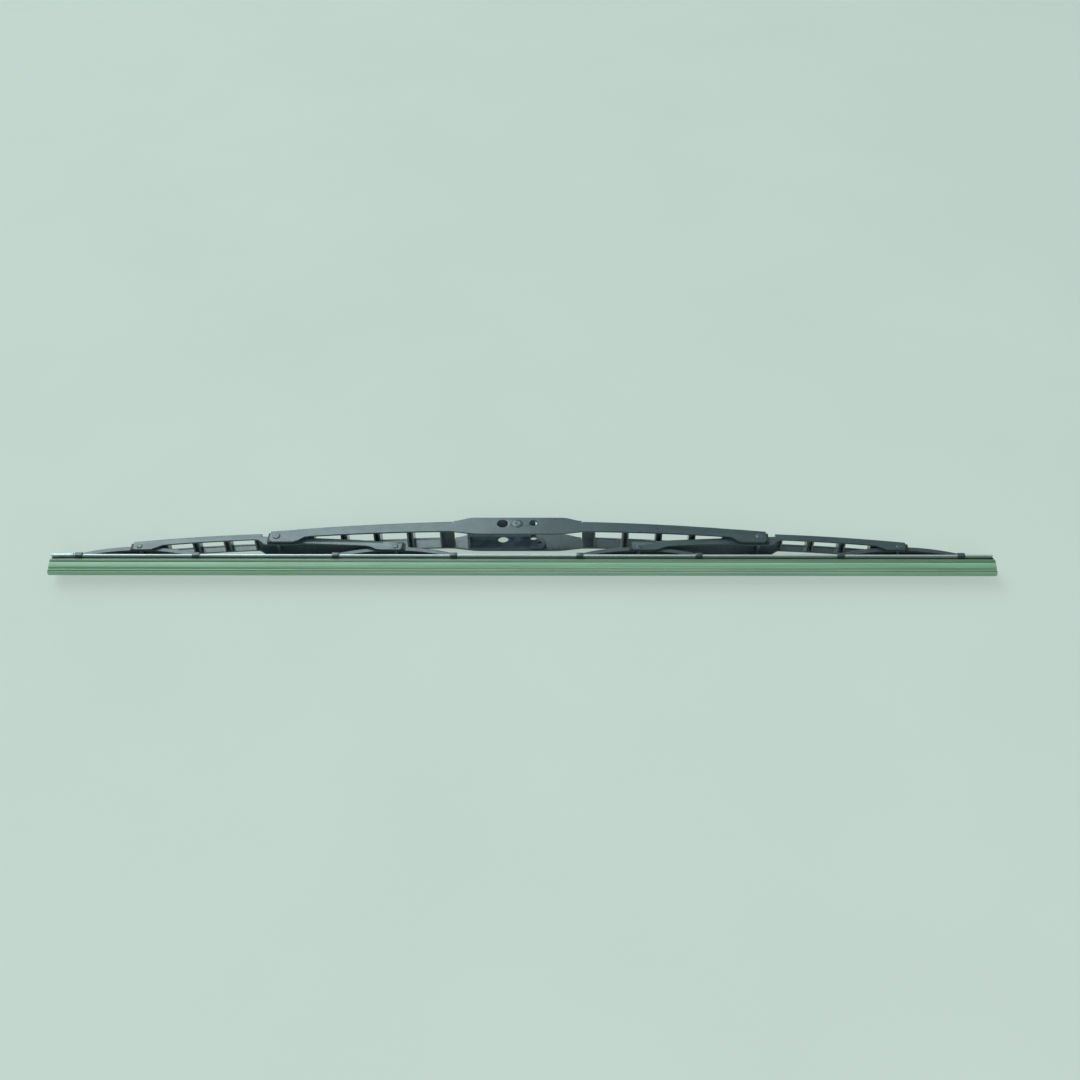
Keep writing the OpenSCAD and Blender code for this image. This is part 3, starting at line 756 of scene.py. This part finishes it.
class WIPER_OT_bridges(Operator):
    """Rounds the edges of the main and secondary bridges and enamels them"""

    bl_idname = "wiper.bridges"
    bl_label = "Bridges"

    def execute(self, context):
        dressed("main_bridge", bridge_enamel, "bridge", SIDE_HOLES)
        for side in SIDES:
            dressed("secondary_bridge_" + side, bridge_enamel, "secondary_" + side)
        return {"FINISHED"}


class WIPER_OT_yokes(Operator):
    """Rounds the edges of the four yokes and enamels them"""

    bl_idname = "wiper.yokes"
    bl_label = "Yokes"

    def execute(self, context):
        for place in YOKES:
            dressed("yoke_" + place, yoke_enamel, place + "_yoke")
        return {"FINISHED"}


def head_mesh(radius, height, peen, sides):
    """Domed head with its foot at z = 0 and a shallow dimple left by the riveting tool."""
    dimple = 0.5 * radius
    side_radius, side_height = 0.99 * radius, 0.3 * height
    crown_radius, crown_foot, crown_bulge = 0.97 * radius, 0.45, 0.7
    crown_steps, dimple_steps = 6, 4
    rings = [(radius, 0.0), (side_radius, side_height)]
    for i in range(1, crown_steps + 1):
        share = i / crown_steps
        rise = math.sin(share * math.pi / 2) ** crown_bulge
        r = crown_radius * (1 - share) + dimple * share
        rings.append((r, height * (crown_foot + (1 - crown_foot) * rise)))
    for i in range(1, dimple_steps + 1):
        share = i / dimple_steps
        rings.append((dimple * (1 - share), height - peen * math.sin(share * math.pi / 2)))
    form = bmesh.new()
    turns = [2 * math.pi * k / sides for k in range(sides)]
    loops = [
        [form.verts.new((r * math.cos(a), r * math.sin(a), z)) for a in turns] for r, z in rings[:-1]
    ]
    for lower, upper in zip(loops, loops[1:]):
        for k in range(sides):
            n = (k + 1) % sides
            form.faces.new((lower[k], lower[n], upper[n], upper[k]))
    tip = form.verts.new((0, 0, rings[-1][1]))
    for k in range(sides):
        form.faces.new((loops[-1][k], loops[-1][(k + 1) % sides], tip))
    mesh = bpy.data.meshes.new("rivet_head")
    form.to_mesh(mesh)
    form.free()
    return mesh


class WIPER_OT_rivets(Operator):
    """Forms the hub pin and the six rivets with dimpled heads"""

    bl_idname = "wiper.rivets"
    bl_label = "Rivets"

    def execute(self, context):
        kinds = {"hub_pin": ("bridge", PIN_SHANK)}
        for side in SIDES:
            kinds["bridge_rivet_" + side] = ("bridge", BRIDGE_SHANK)
        for place in YOKES:
            kinds["yoke_rivet_" + place] = (secondary(place), YOKE_SHANK)
        height = sizes().head_height
        sides = sizes().head_sides
        for node, (body, shank) in kinds.items():
            low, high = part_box(node)
            piece = grown(
                node + "_formed",
                rivet_tree(),
                head_mesh((high.x - low.x) / 2, height, sizes().peen_depth, sides),
                {"Grip": high.z - low.z - 2 * height, "Shank radius": shank, "Sides": float(sides)},
                finish(rivet_enamel),
                centre(node),
            )
            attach(piece, body)
            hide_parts(node)
        return {"FINISHED"}


class WIPER_OT_liners(Operator):
    """Gives the six nylon liners their finish"""

    bl_idname = "wiper.liners"
    bl_label = "Liners"

    def execute(self, context):
        for side in SIDES:
            dressed("bridge_liner_" + side, liner_nylon, "bridge")
        for place in YOKES:
            dressed("yoke_liner_" + place, liner_nylon, secondary(place))
        return {"FINISHED"}


class WIPER_OT_adapter(Operator):
    """Rounds the edges of the hook adapter and gives it its moulded grain"""

    bl_idname = "wiper.adapter"
    bl_label = "Hook adapter"

    def execute(self, context):
        dressed("hook_adapter", adapter_acetal, "adapter")
        return {"FINISHED"}


class WIPER_OT_strip(Operator):
    """Draws the rubber strip with its lip, wedge, neck and rail grooves"""

    bl_idname = "wiper.strip"
    bl_label = "Rubber strip"

    def execute(self, context):
        # Heights over the guard's lip and half widths of the section, in millimetres
        lip_start, lip_end, wedge_end, neck_end, base_end = 1.1, 4.4, 6.5, 7.8, 11
        head_start, head_end = 12, 12.9
        lip, wedge, neck, base, rail_groove, head = 0.35, 1.9, 0.7, 2.7, 1.7, 2.25
        soft = 0.1
        blade_section = [
            (lip_start, lip - soft / 2),
            (lip_start + soft, lip),
            (lip_end, lip),
            (wedge_end - 8 * soft, wedge - 1.5 * soft),
            (wedge_end - 6 * soft, wedge),
            (wedge_end - soft, wedge),
            (wedge_end, wedge - soft),
            (wedge_end, neck),
            (neck_end, neck),
            (neck_end, base - soft),
            (neck_end + soft, base),
            (base_end, base),
            (base_end, rail_groove),
            (head_start + soft / 2, rail_groove),
        ]
        head_section = [
            (head_start, head - soft),
            (head_start + soft, head),
            (head_end - 2 * soft, head),
            (head_end, head - 2 * soft),
        ]
        for name, section, first in (
            ("rubber_blade", blade_section, GUARD_LEFT + END_COVER),
            ("rubber_head", head_section, HEAD_LEFT),
        ):
            draw_strip(
                name,
                "rubber_strip",
                mirrored(section),
                wiper_rubber,
                first,
                GUARD_RIGHT - END_COVER,
            )
        return {"FINISHED"}


def rounded_box(low, high, radius, steps=3):
    """Outline of a rectangle from one corner point to the other, with rounded corners."""
    points = []
    inner_low = [value + radius for value in low]
    inner_high = [value - radius for value in high]
    corners = (
        (inner_low[0], inner_low[1]),
        (inner_high[0], inner_low[1]),
        (inner_high[0], inner_high[1]),
        (inner_low[0], inner_high[1]),
    )
    for quarter, (y, z) in enumerate(corners, start=2):
        for k in range(steps + 1):
            a = (quarter + k / steps) * math.pi / 2
            points.append((y + radius * math.cos(a), z + radius * math.sin(a)))
    return points


class WIPER_OT_rails(Operator):
    """Draws the two spring steel rails with rounded rolled edges"""

    bl_idname = "wiper.rails"
    bl_label = "Steel rails"

    def execute(self, context):
        for node in ("steel_rail_upper", "steel_rail_lower"):
            low, high = ((corner.y - LIP_Y, corner.z - MID_Z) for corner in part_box(node))
            points = rounded_box(low, high, sizes().rail_round)
            draw_strip(node, node, points, rail_steel, GUARD_LEFT, RAIL_HALF)
        return {"FINISHED"}


# Grooves along the guard in millimetres: height over the lip and half width, and share of the full depth
GUARD_GROOVES = ((0.9, 0.33, 0.6), (2.6, 0.45, 1), (6.5, 0.4, 0.5))


class WIPER_OT_guard(Operator):
    """Draws the ribbed vinyl guard over the lip"""

    bl_idname = "wiper.guard"
    bl_label = "Guard"

    def execute(self, context):
        # Heights over the lip and half widths of the section, in millimetres
        height = (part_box("rubber_guard")[1].y - LIP_Y) / MM
        back = (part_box("rubber_guard")[1].z - MID_Z) / MM
        front = 1.4
        wall = 0.7
        slot_half = 1.1
        lip_end = height + sizes().guard_lip / MM
        lip_outer, lip_inner, lip_soft = 3.5, 2.85, 0.1
        nose_depth, nose_reach = 0.3, 0.35
        heel_depth, heel_reach = 0.2, 0.25
        groove = sizes().guard_groove / MM

        def plain_side(y):
            return front + (back - front) * y / height

        def grooved_side(y):
            grooves = sum(
                share * groove * math.exp(-(((y - place) / width) ** 2))
                for place, width, share in GUARD_GROOVES
            )
            nose = nose_depth * (1 - min(1, y / nose_reach)) ** 2
            heel = heel_depth * max(0, (y - height + heel_reach) / heel_reach) ** 2
            return plain_side(y) - grooves - nose - heel

        steps = 60
        levels = [height * i / steps for i in range(steps + 1)]
        outer = [(y, grooved_side(y)) for y in levels]
        lip = [
            (height, lip_outer),
            (lip_end - lip_soft, lip_outer),
            (lip_end, lip_outer - lip_soft),
            (lip_end, lip_inner),
            (height, lip_inner),
            (height, slot_half),
            (height - wall, slot_half),
        ]
        # The inner face follows the side at one wall, and steps in behind the deepest groove
        insets = ((height - wall, 0.1), (3.2, 0), (2.6, 0.6), (2.0, 0.15), (wall, 0.15))
        inner = [(y, plain_side(y) - wall - inset) for y, inset in insets]
        points = mirrored(outer + lip + inner)
        draw_strip("guard", "rubber_guard", points, guard_vinyl, GUARD_LEFT, GUARD_RIGHT)
        return {"FINISHED"}


class WIPER_OT_end_clip(Operator):
    """Rounds the edges of the clip at the left end of the rails"""

    bl_idname = "wiper.end_clip"
    bl_label = "End clip"

    def execute(self, context):
        dressed("rail_end_clip", clip_steel, "left_outer_yoke")
        return {"FINISHED"}


# The stage, in metres: half the side of the table, and place and side of the soft lights
TABLE_HALF = 3.0
KEY_LIGHT = ((-1.75, 2.7, 2.6), 3.2)
TOP_LIGHT = ((-1.0, 0.3, 2.4), 1.2)
FRONT_LIGHT = ((0.1, -1.6, 1.2), 1.2)
WHITE = (1, 1, 1)


class WIPER_OT_stage(Operator):
    """Sets up the table, the soft lights, the room light and the camera"""

    bl_idname = "wiper.stage"
    bl_label = "Stage"

    def execute(self, context):
        settings = context.scene.blade_stage
        self.table()
        self.soft_light("key_light", *KEY_LIGHT, settings.key_watts, colours().key[:3])
        self.soft_light("top_light", *TOP_LIGHT, settings.top_watts, WHITE)
        self.soft_light("front_light", *FRONT_LIGHT, settings.front_watts, WHITE)
        self.room_light(context.scene, settings.sky_strength)
        self.camera(context.scene, settings)
        context.scene.view_settings.view_transform = "Standard"
        return {"FINISHED"}

    @staticmethod
    def table():
        mesh = bpy.data.meshes.new("table_top")
        corners = [(x * TABLE_HALF, y * TABLE_HALF, 0) for x, y in ((-1, -1), (1, -1), (1, 1), (-1, 1))]
        mesh.from_pydata(corners, [], [(0, 1, 2, 3)])
        mesh.materials.append(finish(table_top))
        new_object("table_top", mesh)

    @staticmethod
    def soft_light(name, place, side, watts, colour):
        """A square soft light that faces the blade."""
        lamp = bpy.data.lights.new(name, "AREA")
        lamp.color = colour
        lamp.shape = "SQUARE"
        lamp.size = side
        lamp.energy = watts
        thing = new_object(name, lamp)
        thing.location = place
        thing.rotation_euler = (-Vector(place)).to_track_quat("-Z", "Y").to_euler()

    @staticmethod
    def room_light(scene, strength):
        world = bpy.data.worlds.new("room_light")
        scene.world = world
        world.use_nodes = True
        background = world.node_tree.nodes["Background"]
        background.inputs["Color"].default_value = colours().sky
        background.inputs["Strength"].default_value = strength

    @staticmethod
    def camera(scene, settings):
        """The camera of the photograph, whose view is given by yaw, pitch and roll."""
        lens = bpy.data.cameras.new("camera")
        lens.sensor_width = 36
        lens.lens = lens.sensor_width * settings.focal_pixels / settings.image_side
        lens.clip_start = 0.01
        lens.clip_end = 20
        yaw, pitch, roll = settings.camera_yaw, settings.camera_pitch, settings.camera_roll
        forward = Vector(
            (math.sin(yaw) * math.cos(pitch), math.cos(yaw) * math.cos(pitch), -math.sin(pitch))
        )
        level_right = Vector((math.cos(yaw), -math.sin(yaw), 0))
        level_up = level_right.cross(forward)
        right = math.cos(roll) * level_right + math.sin(roll) * level_up
        up = math.cos(roll) * level_up - math.sin(roll) * level_right
        turn = Matrix((right, up, -forward)).transposed().to_4x4()
        thing = new_object("camera", lens)
        thing.matrix_world = Matrix.Translation(settings.camera_place) @ turn
        scene.camera = thing


STEPS = (
    WIPER_OT_bridges,
    WIPER_OT_yokes,
    WIPER_OT_rivets,
    WIPER_OT_liners,
    WIPER_OT_adapter,
    WIPER_OT_strip,
    WIPER_OT_rails,
    WIPER_OT_guard,
    WIPER_OT_end_clip,
    WIPER_OT_stage,
)


class VIEW3D_PT_wiper(Panel):
    """Buttons for the pieces of the blade and its stage"""

    bl_label = "Wiper blade"
    bl_space_type = "VIEW_3D"
    bl_region_type = "UI"
    bl_category = "Wiper blade"

    def draw(self, context):
        for step in STEPS:
            self.layout.operator(step.bl_idname)


CLASSES = (BladeSizes, BladeColours, StageSettings, *STEPS, VIEW3D_PT_wiper)


def register():
    for item in CLASSES:
        bpy.utils.register_class(item)
    bpy.types.Scene.blade_sizes = PointerProperty(type=BladeSizes)
    bpy.types.Scene.blade_colours = PointerProperty(type=BladeColours)
    bpy.types.Scene.blade_stage = PointerProperty(type=StageSettings)


def unregister():
    for name in ("blade_sizes", "blade_colours", "blade_stage"):
        delattr(bpy.types.Scene, name)
    for item in reversed(CLASSES):
        bpy.utils.unregister_class(item)


def main():
    register()
    for step in STEPS:
        group, name = step.bl_idname.split(".")
        getattr(getattr(bpy.ops, group), name)()


if __name__ == "__main__":
    main()
